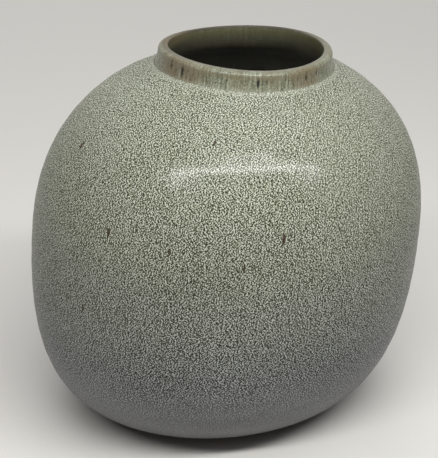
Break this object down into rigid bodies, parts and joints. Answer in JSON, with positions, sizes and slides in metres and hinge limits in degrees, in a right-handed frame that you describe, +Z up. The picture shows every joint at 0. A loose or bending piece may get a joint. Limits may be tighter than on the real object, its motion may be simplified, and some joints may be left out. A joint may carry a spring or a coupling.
{
  "type": "ceramic vase",
  "caption": "Round stoneware vase with a full body, short flared collar, rounded lip and turned foot ring, in speckled grey-green glaze with a dark inside, for cut flowers or dry stems.",
  "frame": {"origin": "centre of the foot ring's underside, on the axis of the vase", "axes": "+Z up along the axis of the vase; X and Y are alike, because the vase is a solid of revolution"},
  "size_m": [0.2, 0.2, 0.1949],
  "materials": {
    "bare_clay": "unglazed fired stoneware, matt and slightly sandy",
    "speckled_glaze": "satin speckled glaze, pale grey-cream mottle over olive",
    "collar_glaze": "satin olive-brown glaze with fine upright streaks, paler on the lip",
    "liner_glaze": "satin dark olive glaze"
  },
  "bodies": {
    "root": {"foot_ring": "bare_clay", "lower_bowl": "bare_clay", "upper_bowl": "bare_clay", "neck_collar": "bare_clay", "body_glaze": "speckled_glaze", "collar_glaze": "collar_glaze", "liner_glaze": "liner_glaze"}
  },
  "joints": []
}
